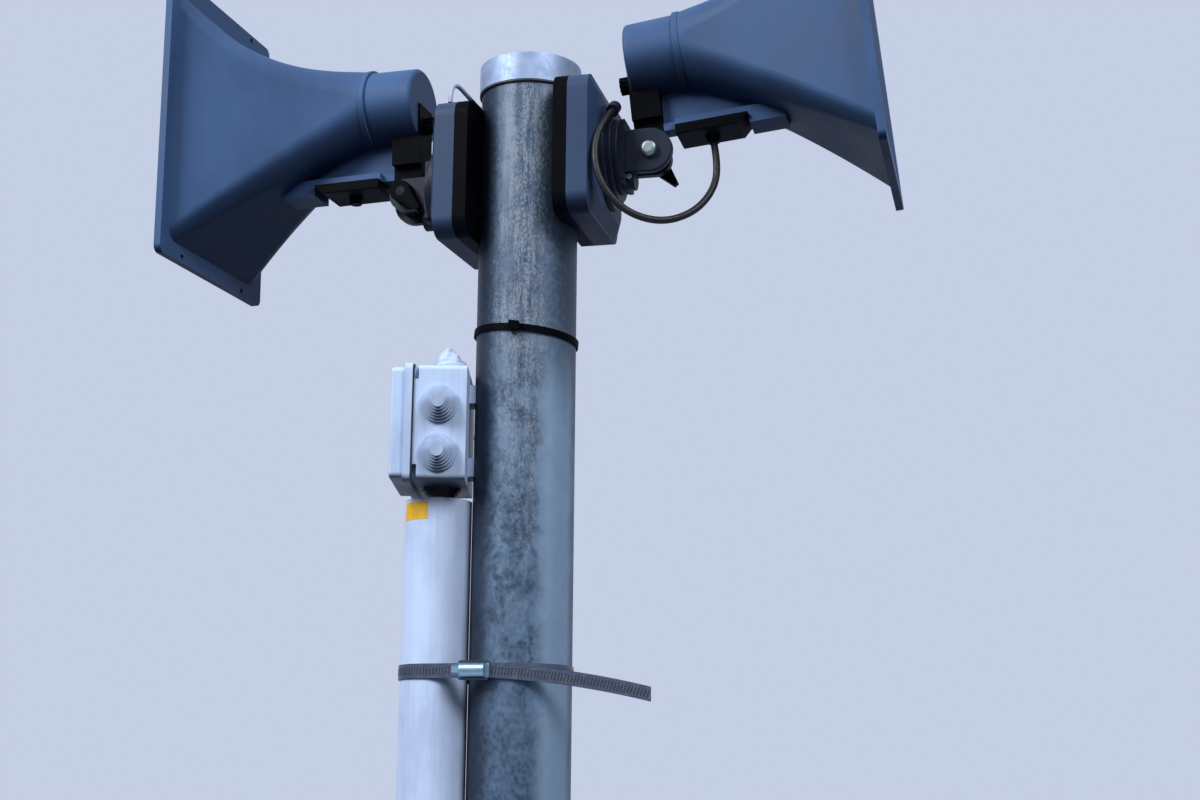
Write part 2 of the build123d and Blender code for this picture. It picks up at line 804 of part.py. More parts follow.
def make_clamp(name):
    """Band round pole and pipe, and its worm housing with the screw in front of the gap between them."""
    height = pole_height - clamp_drops[name]
    band = belt(
        Plane.XY.offset(height), (0, 0), (-pipe_offset, 0), pole_radius + seat_gap,
        pipe_diameter / 2 + seat_gap, band_thickness, band_width,
    )
    write(band, f"clamp_band_{name}")

    lean = asin((pole_diameter - pipe_diameter) / 2 / pipe_offset)
    outward = Vector(-sin(lean), -cos(lean), 0)
    along = Vector(cos(lean), -sin(lean), 0)
    reach = pole_radius + seat_gap + band_thickness
    seat = Plane(
        origin=outward * reach - along * worm_setback + Vector(0, 0, height),
        x_dir=along,
        z_dir=outward,
    )
    screw_line = Plane(
        origin=seat.from_local_coords(Vector(worm_body_length / 2, 0, worm_rise)),
        x_dir=(0, 0, 1),
        z_dir=-along,
    )
    screw_end = screw_line.offset(worm_body_length + worm_screw_length)
    with BuildPart() as worm:
        with BuildSketch(seat):
            RectangleRounded(worm_length, worm_saddle_width, worm_corner)
        extrude(amount=worm_saddle_height)
        with BuildSketch(screw_line):
            Circle(worm_diameter / 2)
        extrude(amount=worm_body_length)
        with BuildSketch(screw_line.offset(worm_body_length)):
            RegularPolygon(worm_screw_diameter / 2, 6)
        extrude(amount=worm_screw_length)
        with BuildSketch(screw_end):
            Rectangle(worm_screw_diameter, worm_slot_width)
        extrude(amount=-worm_slot_depth, mode=Mode.SUBTRACT)
        with BuildSketch(seat):
            Rectangle(2 * worm_length, 2 * worm_saddle_width)
        extrude(amount=-worm_diameter, mode=Mode.SUBTRACT)
    write(worm.part, f"clamp_worm_{name}")
    if name == "upper":
        make_clamp_tail(seat)


def make_clamp_tail(seat):
    """Spare end of the upper band: it leaves the worm housing, lies on the band and droops past it."""
    start = worm_length / 2
    middle = start + tail_length / 2
    end = start + tail_length
    half = band_width / 2
    sag = tail_droop * tail_bow
    with BuildPart() as tail:
        with BuildSketch(seat):
            with BuildLine():
                ThreePointArc((start, half), (middle, half - sag), (end, half - tail_droop))
                Line((end, half - tail_droop), (end, -half - tail_droop))
                ThreePointArc((end, -half - tail_droop), (middle, -half - sag), (start, -half))
                Line((start, -half), (start, half))
            make_face()
        extrude(amount=band_thickness)
    write(tail.part, "clamp_tail_upper")


make_pole()
make_pole_cap()
for side in unit_bearing:
    make_box(side)
    make_swivel(side)
    make_horn(side)
make_right_lead()
make_feed_cable()
make_cable_tie()
make_junction_box()
make_grommets()
make_pipe()
for name in clamp_drops:
    make_clamp(name)
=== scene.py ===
"""Looks of the warning horn mast: finishes, small fittings, leads, camera and light.

Metres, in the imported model's frame: the pole stands on the origin, +Z is up and +Y is away
from the viewer.
"""

from math import asin, cos, pi, radians, sin

import bmesh
import bpy
from mathutils import Matrix, Vector


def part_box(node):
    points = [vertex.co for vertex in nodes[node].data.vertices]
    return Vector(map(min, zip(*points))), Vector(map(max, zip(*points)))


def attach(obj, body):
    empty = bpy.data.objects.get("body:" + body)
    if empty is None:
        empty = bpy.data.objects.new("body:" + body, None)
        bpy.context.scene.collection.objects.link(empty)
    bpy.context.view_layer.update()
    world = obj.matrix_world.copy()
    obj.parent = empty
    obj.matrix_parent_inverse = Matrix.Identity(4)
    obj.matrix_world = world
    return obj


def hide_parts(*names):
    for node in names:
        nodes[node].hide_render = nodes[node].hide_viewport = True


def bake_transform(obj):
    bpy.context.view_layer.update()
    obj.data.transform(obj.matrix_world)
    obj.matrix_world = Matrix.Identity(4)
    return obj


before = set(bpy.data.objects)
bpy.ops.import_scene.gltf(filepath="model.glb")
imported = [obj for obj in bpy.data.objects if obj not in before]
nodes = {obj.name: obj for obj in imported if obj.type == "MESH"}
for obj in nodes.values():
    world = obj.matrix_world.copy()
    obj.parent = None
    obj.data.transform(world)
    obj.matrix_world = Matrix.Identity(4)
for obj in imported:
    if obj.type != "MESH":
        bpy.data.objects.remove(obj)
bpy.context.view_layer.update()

# Places taken from the part's own sizes
pole_radius = 0.03805
pole_height = 2.253
unit_bearing = {"right": radians(-13.4), "left": radians(163.0)}
unit_height = {"right": 2.178, "left": 2.158}

# Leads: the routes of the part's source, and how finely they are drawn
route_order = 3
route_steps = 10
ring_steps = 5
lead_diameter = 0.0055
lead_route = [
    (0.1461, 0.0, 0.0059),
    (0.1495, 0.0, -0.014),
    (0.146, -0.008, -0.0365),
    (0.133, -0.020, -0.056),
    (0.112, -0.036, -0.067),
    (0.088, -0.047, -0.061),
    (0.0715, -0.0525, -0.042),
    (0.0655, -0.0535, -0.023),
    (0.065, -0.0505, -0.006),
    (0.0676, -0.0453, 0.0085),
    (0.0716, -0.0382, 0.0195),
    (0.0729, -0.0295, 0.0268),
]
feed_diameter = 0.0036
feed_route = [
    (-0.061, -0.024, 0.0336),
    (-0.061, -0.023, 0.0215),
    (-0.057, -0.014, 0.0145),
    (-0.049, 0.001, 0.019),
    (-0.0395, 0.018, 0.0245),
    (-0.026, 0.034, 0.0265),
    (-0.014, 0.0402, 0.037),
    (-0.012, 0.0412, 0.066),
    (-0.009, 0.0415, 0.121),
    (-0.008, 0.0408, 0.173),
    (-0.008, 0.0399, 0.217),
    (-0.0095, 0.0415, 0.239),
    (-0.016, 0.048, 0.256),
    (-0.025, 0.060, 0.267),
    (-0.0295, 0.0727, 0.2746),
    (-0.0382, 0.0826, 0.2764),
    (-0.0517, 0.0826, 0.2768),
    (-0.0613, 0.073, 0.2768),
    (-0.0613, 0.0563, 0.2768),
]

# Worm-drive clamps and the spare end of the upper one
pipe_radius = 0.025
pipe_offset = 0.06335
band_thickness = 0.0008
clamp_heights = {"upper": 1.783, "middle": 1.15, "lower": 0.45}
worm_setback = 0.024
worm_length = 0.023
tail_length = 0.117
tail_droop = 0.0176
tail_bow = 0.35
tail_steps = 24
tail_margin = 0.4
seat_gap = 0.0003
slot_pitch = 0.0024
slot_width = 0.0008
slot_length = 0.0056
slot_depth = 0.00012
slot_slant = radians(8.0)
pole_arc_steps = 72
pipe_arc_steps = 48

# Screws of the lid and of the fork locks
well_depth = 0.006
well_offset = 0.0337
lid_screw_radius = 0.0028
lid_screw_height = 0.002
lid_recess_width = 0.0009
lock_screw_place = (0.082, -0.0098, -0.0195)
lock_screw_radius = 0.0021
lock_screw_height = 0.0022
lock_recess_width = 0.0007
screw_sides = 24
crown_radius_share = 0.82
crown_height_share = 1.3
recess_length_share = 1.25
recess_height_share = 1.34

# Sticker, and dark strips of painted shade at the lid's rim and under the cap
sticker_bottom = 1.894
sticker_top = 1.907
sticker_from = radians(203)
sticker_to = radians(257)
sticker_gap = 0.00002
sticker_thickness = 0.0001
sticker_steps = 14
# Dark lip round the lid's rim: painted shade of the gap between lid and body
gap_shade_lip = 0.0009
gap_shade_width = 0.0013
gap_shade_corner = 0.004
gap_shade_corner_steps = 6
# Dark strip under the cap: painted shade under its rim
cap_shade_strip_height = 0.002
cap_shade_strip_edge = 0.0014
cap_shade_strip_bevel = 0.0008
cap_shade_strip_steps = 96

# Crumpled grommet: shares of its radius and height from foot to tip, and its folds
grommet_profile = (
    (1.0, 0.0), (1.0, 0.2), (0.92, 0.3), (0.9, 0.44), (0.76, 0.5), (0.72, 0.66),
    (0.55, 0.72), (0.5, 0.9), (0.3, 0.97), (0.0, 0.92),
)
grommet_steps = 40
grommet_fit = 0.94
grommet_foot = 0.3
grommet_slump = 0.3
grommet_sag = 0.14
broad_fold = 0.1
fine_fold = 0.07
fold_limit = 1.2

# Vertices of a piece that are closer than this become one
merge_distance = 1e-7


def tone(red, green, blue):
    """Linear colour of an sRGB display colour given in steps from 0 to 255."""
    def linear(step):
        share = step / 255
        return share / 12.92 if share <= 0.04045 else ((share + 0.055) / 1.055) ** 2.4

    return linear(red), linear(green), linear(blue), 1.0


class Wire:
    """Output socket of a shader node; sums with it add the Math nodes they need."""

    def __init__(self, finish, socket):
        self.finish = finish
        self.socket = socket

    def join(self, operation, first, second):
        return self.finish.node("Math", {"operation": operation}, {0: first, 1: second})

    def __add__(self, other):
        return self.join("ADD", self, other)

    def __sub__(self, other):
        return self.join("SUBTRACT", self, other)

    def __rsub__(self, other):
        return self.join("SUBTRACT", other, self)

    def __mul__(self, other):
        return self.join("MULTIPLY", self, other)

    __radd__ = __add__
    __rmul__ = __mul__


class Finish:
    """A material, or the world, and the nodes that paint it."""

    def __init__(self, name, owner=None):
        self.owner = owner or bpy.data.materials.new(name)
        self.owner.use_nodes = True
        self.tree = self.owner.node_tree
        self.tree.nodes.clear()

    def node(self, kind, settings=(), sockets=(), output=0):
        """Adds a node: its settings first, then the values or links of its sockets."""
        made = self.tree.nodes.new("ShaderNode" + kind)
        for name, value in dict(settings).items():
            setattr(made, name, value)
        for name, value in dict(sockets).items():
            if isinstance(value, Wire):
                self.tree.links.new(value.socket, made.inputs[name])
            else:
                made.inputs[name].default_value = value
        return Wire(self, made.outputs[output]) if made.outputs else made

    def place(self, scale):
        """Object coordinates, scaled along each axis."""
        here = self.node("TexCoord", output="Object")
        return self.node("Mapping", (), {"Vector": here, "Scale": scale})

    def axis(self, name):
        """One object coordinate, in metres."""
        here = self.node("TexCoord", output="Object")
        return self.node("SeparateXYZ", (), {"Vector": here}, output=name)

    def noise(self, size, stretch=(1, 1, 1), detail=3.0, roughness=0.55, distortion=0.0):
        """Noise with lumps of about the size given, in metres, longer where stretch is below 1."""
        values = {
            "Vector": self.place(stretch),
            "Scale": 1 / size,
            "Detail": detail,
            "Roughness": roughness,
            "Distortion": distortion,
        }
        return self.node("TexNoise", (), values)

    def cells(self, size, stretch=(1, 1, 1)):
        """Distance from the middle of soft cells of about the size given, in metres."""
        values = {"Vector": self.place(stretch), "Scale": 1 / size}
        return self.node("TexVoronoi", {"feature": "SMOOTH_F1"}, values, "Distance")

    def step(self, value, low, high, bottom=0.0, top=1.0):
        """Smooth step of a value: bottom where it is low, top where it is high."""
        values = {"Value": value, "From Min": low, "From Max": high, "To Min": bottom, "To Max": top}
        return self.node("MapRange", {"interpolation_type": "SMOOTHSTEP"}, values)

    def mix(self, share, first, second):
        """Colour between first and second."""
        return self.node("Mix", {"data_type": "RGBA"}, {0: share, 6: first, 7: second}, output=2)

    def facing_up(self):
        """How far the surface faces up on the piece at rest: 1 on a top, -1 on an underside."""
        normal = self.node("TexCoord", output="Normal")
        return self.node("SeparateXYZ", (), {"Vector": normal}, output="Z")

    def bump(self, height, depth, strength):
        """Normal of a surface whose relief is so many metres deep."""
        return self.node("Bump", (), {"Height": height, "Distance": depth, "Strength": strength})

    def surface(self, sockets):
        """Ends the material with one shader and gives it back."""
        shader = self.node("BsdfPrincipled", (), sockets)
        self.node("OutputMaterial", (), {"Surface": shader})
        return self.owner


def galvanised_steel():
    """Weathered zinc: teal grey, cloudy mottling, pale speckles in upright clusters, with painted light
    and shade: a lighter middle stretch, a darker top stretch and dark flanks.
    """
    finish = Finish("galvanised_steel")
    across = finish.axis("X")
    height = finish.axis("Z")
    runs = finish.noise(0.0055, (1, 1, 0.12), roughness=0.6)
    broad = finish.noise(0.07, (1, 1, 0.4))
    clouds = finish.noise(0.015, (1, 1, 0.75), detail=5.0, roughness=0.68, distortion=0.4)
    speckles = finish.noise(0.0013, (1, 1, 0.55), detail=4.0, roughness=0.75)
    crystals = finish.cells(0.003, (1, 1, 0.8))

    # Three stretches of the pole, with a ragged change from one to the next: the middle one lighter as
    # painted light, the top one darker as painted shade
    ragged_height = height + broad * 0.1
    top_part = finish.step(ragged_height, 1.99, 2.12)
    middle_part = finish.step(ragged_height, 1.72, 1.9)
    below_top = finish.step(top_part, 1.0, 0.0, 0.12, 0.7)

    low_zinc = tone(64, 85, 109)
    painted_lit_zinc = tone(86, 108, 132)
    painted_shade_zinc = tone(42, 54, 73)
    dark_cloud = tone(46, 61, 80)
    crystal_glint = tone(120, 142, 164)
    pale = finish.mix(middle_part, low_zinc, painted_lit_zinc)
    pale = finish.mix(top_part, pale, painted_shade_zinc)
    zinc = finish.mix(finish.step(clouds, 0.38, 0.62), dark_cloud, pale)
    zinc = finish.mix(finish.step(crystals, 0.1, 0.8, 0.0, 0.25), zinc, crystal_glint)

    # Upright bands: a painted reflection right of the middle, a brownish stain, dark flanks of painted
    # shade
    painted_reflection = tone(144, 168, 192)
    brown_stain = tone(62, 58, 72)
    flank_shade = tone(30, 40, 56)
    reflection_band = finish.step(across, 0.008, 0.022) * finish.step(across, 0.038, 0.033)
    zinc = finish.mix(reflection_band * below_top, zinc, painted_reflection)
    stain_band = finish.step(across, 0.006, -0.01) * middle_part
    stain = finish.step(clouds + runs * 0.3, 0.72, 0.86) * stain_band
    zinc = finish.mix(stain * 0.55, zinc, brown_stain)
    # Painted shade on both flanks, on the right one only near the top
    left_flank = finish.step(across, -0.016, -0.032, 0.0, 0.88)
    right_flank = finish.step(across, 0.02, 0.034, 0.0, 0.6) * top_part
    zinc = finish.mix(left_flank + right_flank, zinc, flank_shade)

    # Pale speckles, thickest in upright clusters near the top
    cluster_grey = tone(114, 124, 138)
    bloom_grey = tone(152, 160, 174)
    cluster_band = finish.step(across + broad * 0.02, -0.02, -0.004) * finish.step(across, 0.022, 0.008)
    upper_part = finish.step(height + broad * 0.12, 1.84, 2.08, 0.12, 1.0)
    cluster = cluster_band * upper_part * finish.step(runs, 0.36, 0.6, 0.25, 1.0)
    zinc = finish.mix(cluster * finish.step(clouds, 0.42, 0.56, 0.05, 0.4), zinc, cluster_grey)
    bloom = finish.step(speckles + cluster * 0.2, 0.6, 0.74)
    return finish.surface({
        "Base Color": finish.mix(bloom * finish.step(top_part, 0.0, 1.0, 0.34, 0.5), zinc, bloom_grey),
        "Metallic": 0.4 - bloom * 0.3,
        "Roughness": finish.step(crystals, 0.0, 0.8, 0.42, 0.54) + bloom * 0.2,
        "Specular IOR Level": 0.3,
        "Normal": finish.bump(speckles + crystals * 0.5, 0.00012, 0.25),
    })


def pale_zinc():
    """Fresh zinc of the cap, with faint crystals and scuffs."""
    finish = Finish("pale_zinc")
    crystals = finish.cells(0.009)
    scuffs = finish.noise(0.004, (1, 3, 1), detail=4.0, roughness=0.65)
    colour = finish.mix(finish.step(crystals, 0.1, 0.8), tone(126, 142, 170), tone(146, 162, 190))
    colour = finish.mix(finish.step(scuffs, 0.58, 0.7, 0.0, 0.5), colour, tone(116, 132, 160))
    return finish.surface({
        "Base Color": colour,
        "Metallic": 0.4,
        "Roughness": finish.step(scuffs, 0.3, 0.7, 0.46, 0.6),
        "Normal": finish.bump(scuffs, 0.0001, 0.3),
    })


def moulded_plastic(name, dark, light, roughness, dusting, shine):
    """Satin moulded plastic: fine grain, faint clouds, dust on top, painted shade on its undersides."""
    finish = Finish(name)
    clouds = finish.noise(0.05, (1, 1, 0.6))
    grain = finish.noise(0.0011, detail=2.0, roughness=0.6)
    runs = finish.noise(0.006, (1, 1, 0.08), roughness=0.6)
    colour = finish.mix(finish.step(clouds, 0.32, 0.68), dark, light)
    upward = finish.facing_up()
    dust = finish.step(upward, 0.2, 0.9) * finish.step(runs + grain * 0.4, 0.5, 0.85, 0.1, 0.75)
    colour = finish.mix(dust * dusting, colour, tone(142, 146, 150))
    # Undersides darkened towards a deep blue: painted shade
    painted_underside_shade = finish.step(upward, -0.02, -0.6, 0.0, 0.5)
    colour = finish.mix(painted_underside_shade, colour, tone(10, 16, 28))
    return finish.surface({
        "Base Color": colour,
        "Specular IOR Level": shine,
        "Roughness": finish.step(clouds, 0.3, 0.7, roughness, roughness + 0.1) + dust * 0.2,
        "Normal": finish.bump(grain, 0.00012, 0.5),
    })


def pale_plastic(name, colour, shade, roughness):
    """Pale moulded plastic: faint grime in patches and thin runs, painted shade on its undersides."""
    finish = Finish(name)
    clouds = finish.noise(0.045, (1, 1, 0.5), detail=4.0, roughness=0.6)
    runs = finish.noise(0.004, (1, 1, 0.05), roughness=0.6)
    grain = finish.noise(0.0009, detail=2.0)
    grime = finish.step(clouds + runs * 0.35, 0.56, 0.86)
    weathered = finish.mix(grime * 0.55, colour, shade)
    # Undersides darkened: painted shade
    painted_underside_shade = finish.step(finish.facing_up(), -0.4, -0.9, 0.0, 0.8)
    return finish.surface({
        "Base Color": finish.mix(painted_underside_shade, weathered, tone(36, 40, 50)),
        "Roughness": finish.step(clouds, 0.3, 0.7, roughness, roughness + 0.12),
        "Normal": finish.bump(grain, 0.00008, 0.4),
    })


def soft_rubber(name, colour, worn):
    """Matt sheath or seal, with fine scratches and a slight bloom."""
    finish = Finish(name)
    scratches = finish.noise(0.0016, (1, 1, 0.4), detail=4.0, roughness=0.7)
    bloom = finish.noise(0.018)
    return finish.surface({
        "Base Color": finish.mix(finish.step(bloom + scratches * 0.3, 0.5, 0.9), colour, worn),
        "Specular IOR Level": 0.3,
        "Roughness": finish.step(scratches, 0.3, 0.7, 0.42, 0.6),
        "Normal": finish.bump(scratches, 0.00006, 0.5),
    })


def brushed_steel(name, dark, light, roughness, spots):
    """Bare steel with fine brushing and a few dull spots."""
    finish = Finish(name)
    brushing = finish.noise(0.0007, (0.12, 0.12, 1), roughness=0.7)
    patches = finish.noise(0.006)
    dull = finish.step(patches, 0.55, 0.72) * spots
    return finish.surface({
        "Base Color": finish.mix(dull, finish.mix(brushing, dark, light), tone(96, 92, 86)),
        "Metallic": 1.0 - dull * 0.5,
        "Roughness": finish.step(brushing, 0.3, 0.7, roughness, roughness + 0.14) + dull * 0.3,
        "Normal": finish.bump(brushing, 0.00004, 0.4),
    })


def worm_steel(name, height):
    """Clamp worm: a pale bluish screw between the darker plates of its housing."""
    finish = Finish(f"worm_steel_{name}")
    off_centre = finish.axis("Z") - height
    brushing = finish.noise(0.0007, (0.12, 0.12, 1), roughness=0.7)
    on_screw = finish.step(off_centre * off_centre, 0.0054**2, 0.0046**2)
    plates = finish.mix(brushing, tone(52, 58, 70), tone(84, 92, 106))
    screw = finish.mix(brushing, tone(122, 152, 166), tone(160, 186, 198))
    return finish.surface({
        "Base Color": finish.mix(on_screw, plates, screw),
        "Metallic": 1.0,
        "Roughness": finish.step(brushing, 0.3, 0.7, 0.28, 0.42),
        "Normal": finish.bump(brushing, 0.00004, 0.4),
    })


def paper_sticker():
    """Blank yellow sticker with faded patches and pale fibres."""
    finish = Finish("yellow_sticker")
    fading = finish.noise(0.008)
    fibres = finish.noise(0.0012)
    colour = finish.mix(finish.step(fading, 0.35, 0.7), tone(224, 176, 24), tone(212, 150, 14))
    return finish.surface({
        "Base Color": finish.mix(finish.step(fibres, 0.6, 0.75, 0.0, 0.3), colour, tone(250, 224, 120)),
        "Roughness": 0.55,
        "Normal": finish.bump(fibres, 0.00005, 0.4),
    })


galvanised = galvanised_steel()
cap_zinc = pale_zinc()
horn_plastic = moulded_plastic("horn_plastic", tone(52, 74, 109), tone(57, 83, 121), 0.46, 0.03, 0.12)
box_plastic = moulded_plastic("box_plastic", tone(41, 57, 84), tone(46, 63, 92), 0.46, 0.06, 0.14)
black_plastic = moulded_plastic("black_plastic", tone(1, 1, 3), tone(3, 4, 7), 0.5, 0.004, 0.03)
swivel_plastic = moulded_plastic("swivel_plastic", tone(15, 21, 35), tone(22, 30, 47), 0.44, 0.03, 0.16)
lead_rubber = soft_rubber("lead_rubber", tone(4, 5, 9), tone(10, 12, 18))
feed_sheath = soft_rubber("feed_sheath", tone(140, 150, 168), tone(166, 176, 194))
junction_plastic = pale_plastic("junction_plastic", tone(180, 198, 228), tone(140, 156, 186), 0.42)
grommet_rubber = pale_plastic("grommet_rubber", tone(172, 188, 218), tone(116, 130, 158), 0.5)
pipe_plastic = pale_plastic("pipe_plastic", tone(192, 208, 238), tone(156, 170, 200), 0.34)
bolt_steel = brushed_steel("bolt_steel", tone(104, 114, 116), tone(136, 146, 148), 0.36, 0.5)
band_steel = brushed_steel("band_steel", tone(70, 76, 90), tone(108, 116, 132), 0.26, 0.5)
sticker_paper = paper_sticker()
# Dark rubber that stands in for shade: the bottom grommet, the lip at the lid's rim and the strip under
# the cap
painted_shade_rubber = soft_rubber("painted_shade_rubber", tone(34, 36, 42), tone(52, 54, 62))
slot_shadow = soft_rubber("slot_shadow", tone(28, 30, 34), tone(44, 46, 50))
dark_steel = brushed_steel("dark_steel", tone(14, 15, 18), tone(28, 30, 34), 0.42, 0.1)

finishes = {
    "pole": galvanised,
    "pole_cap": cap_zinc,
    "cable_tie": black_plastic,
    "junction_body": junction_plastic,
    "junction_lid": junction_plastic,
    "cable_pipe": pipe_plastic,
    "lead_right": lead_rubber,
    "feed_cable": feed_sheath,
}
for name in nodes:
    # The bottom grommet is dark: painted shade of the gap under the box
    if name == "grommet_bottom":
        finishes[name] = painted_shade_rubber
    elif name.startswith("grommet"):
        finishes[name] = grommet_rubber
    elif name.startswith("clamp_worm"):
        clamp = name.split("_")[-1]
        finishes[name] = worm_steel(clamp, clamp_heights[clamp])
    elif name.startswith(("clamp_band", "clamp_tail")):
        finishes[name] = band_steel
    elif name == "pivot_bolt_right":
        finishes[name] = bolt_steel
    elif name == "pivot_bolt_left":
        finishes[name] = dark_steel
    elif name.startswith(("bell_", "driver_", "phase_plug")):
        finishes[name] = horn_plastic
    elif name.startswith(("swivel_disc", "fork")):
        finishes[name] = swivel_plastic
    elif name.startswith(("housing", "rear_cap")):
        finishes[name] = box_plastic
    elif name not in finishes:
        finishes[name] = black_plastic


def dress(piece, finish):
    """Gives every material slot of a piece the finish."""
    if not piece.material_slots:
        piece.data.materials.append(finish)
    for held in piece.material_slots:
        held.material = finish


for name, node in nodes.items():
    dress(node, finishes[name])


def unit_place(side):
    """Frame of a horn unit on the pole: x out of the pole, y sideways, z up."""
    turn = Matrix.Rotation(unit_bearing[side], 4, "Z")
    return Matrix.Translation((0, 0, unit_height[side])) @ turn


def add_piece(name, mesh, body, finish=None):
    """Shows a mesh as a piece, in a finish and riding on a body where one is given."""
    piece = bpy.data.objects.new(name, mesh)
    bpy.context.scene.collection.objects.link(piece)
    if finish:
        dress(piece, finish)
    if body:
        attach(piece, body)
    return piece


def mesh_of(build):
    """Mesh of a bmesh, its faces turned outwards even where it folds over itself."""
    bmesh.ops.remove_doubles(build, verts=build.verts, dist=merge_distance)
    bmesh.ops.recalc_face_normals(build, faces=build.faces)
    if build.calc_volume(signed=True) < 0:
        bmesh.ops.reverse_faces(build, faces=build.faces)
    mesh = bpy.data.meshes.new("piece")
    build.to_mesh(mesh)
    build.free()
    return mesh


def route_curve(points, radius=0.0):
    """One smooth spline along the points, round if it has a radius."""
    curve = bpy.data.curves.new("route", "CURVE")
    curve.dimensions = "3D"
    curve.resolution_u = route_steps
    curve.bevel_depth = radius
    curve.bevel_resolution = ring_steps
    curve.use_fill_caps = True
    spline = curve.splines.new("NURBS")
    spline.points.add(len(points) - 1)
    for control, point in zip(spline.points, points):
        control.co = (*point, 1.0)
    spline.order_u = route_order
    spline.use_endpoint_u = True
    spline.use_smooth = True
    return bpy.data.objects.new("route", curve)


def curve_mesh(points, radius=0.0):
    """Plain mesh of the spline along the points."""
    route = route_curve(points, radius)
    bpy.context.scene.collection.objects.link(route)
    graph = bpy.context.evaluated_depsgraph_get()
    mesh = bpy.data.meshes.new_from_object(route.evaluated_get(graph), depsgraph=graph)
    bpy.data.objects.remove(route)
    return mesh


def route_line(points):
    """Middle line of the spline along the points, as a list of places."""
    return [vertex.co.copy() for vertex in curve_mesh(points).vertices]


class Recipe:
    """A Geometry Nodes tree with named inputs for its sizes."""

    def __init__(self, name, sizes):
        self.tree = bpy.data.node_groups.new(name, "GeometryNodeTree")
        self.tree.interface.new_socket("Geometry", in_out="INPUT", socket_type="NodeSocketGeometry")
        for size in sizes:
            self.tree.interface.new_socket(size, in_out="INPUT", socket_type="NodeSocketFloat")
        self.tree.interface.new_socket("Geometry", in_out="OUTPUT", socket_type="NodeSocketGeometry")
        self.given = self.tree.nodes.new("NodeGroupInput").outputs

    def node(self, kind, settings=(), sockets=(), output=0):
        """Adds a node: its settings first, then the values or links of its sockets."""
        made = self.tree.nodes.new(kind)
        for name, value in dict(settings).items():
            setattr(made, name, value)
        for name, value in dict(sockets).items():
            for each in value if isinstance(value, list) else [value]:
                if isinstance(each, bpy.types.NodeSocket):
                    self.tree.links.new(each, made.inputs[name])
                else:
                    made.inputs[name].default_value = each
        return made.outputs[output] if made.outputs else made

    def vector(self, x, y, z):
        """A vector of three numbers or sockets."""
        return self.node("ShaderNodeCombineXYZ", (), {"X": x, "Y": y, "Z": z})

    def times(self, value, factor):
        """A socket's value times a number."""
        return self.node("ShaderNodeMath", {"operation": "MULTIPLY"}, {0: value, 1: factor})

    def end(self, instances, finish, marked=()):
        """Ends the tree: real meshes in a finish, and others on faces marked with a name."""
        real = self.node("GeometryNodeRealizeInstances", (), {"Geometry": instances})
        coated = self.node("GeometryNodeSetMaterial", (), {"Geometry": real, "Material": finish})
        for name, other in dict(marked).items():
            faces = self.node("GeometryNodeInputNamedAttribute", {"data_type": "BOOLEAN"}, {"Name": name})
            coated = self.node(
                "GeometryNodeSetMaterial", (), {"Geometry": coated, "Selection": faces, "Material": other}
            )
        self.node("NodeGroupOutput", (), {"Geometry": coated})

    def make(self, name, source, body, sizes):
        """Runs the tree on a mesh and shows the plain result as a piece."""
        holder = bpy.data.objects.new("holder", source)
        bpy.context.scene.collection.objects.link(holder)
        modifier = holder.modifiers.new("recipe", "NODES")
        modifier.node_group = self.tree
        for item in self.tree.interface.items_tree:
            if item.name in sizes:
                modifier[item.identifier] = sizes[item.name]
        graph = bpy.context.evaluated_depsgraph_get()
        mesh = bpy.data.meshes.new_from_object(holder.evaluated_get(graph), depsgraph=graph)
        bpy.data.objects.remove(holder)
        return add_piece(name, mesh, body)


def slot_recipe():
    """Slanted slots at an even pitch along the edges of a mesh, lying on a band."""
    recipe = Recipe("band_slots", ("Pitch", "Slot width", "Slot length", "Slot depth", "Slant"))
    path = recipe.node("GeometryNodeMeshToCurve", (), {"Mesh": recipe.given["Geometry"]})
    tangent = recipe.node("GeometryNodeInputTangent")
    along = recipe.node("FunctionNodeAlignRotationToVector", {"axis": "X"}, {"Vector": tangent})
    kept = recipe.node(
        "GeometryNodeStoreNamedAttribute", {"data_type": "QUATERNION", "domain": "POINT"},
        {"Geometry": path, "Name": "along", "Value": along},
    )
    spots = recipe.node(
        "GeometryNodeCurveToPoints", {"mode": "LENGTH"}, {"Curve": kept, "Length": recipe.given["Pitch"]}
    )
    held = recipe.node("GeometryNodeInputNamedAttribute", {"data_type": "QUATERNION"}, {"Name": "along"})
    block = recipe.node("GeometryNodeMeshCube", (), {"Size": recipe.vector(
        recipe.given["Slot width"], recipe.given["Slot depth"], recipe.given["Slot length"]
    )})
    slanted = recipe.node("GeometryNodeTransform", (), {
        "Geometry": block, "Rotation": recipe.vector(0.0, recipe.given["Slant"], 0.0),
    })
    slots = recipe.node("GeometryNodeInstanceOnPoints", (), {
        "Points": spots, "Instance": slanted, "Rotation": held,
    })
    recipe.end(slots, slot_shadow)
    return recipe


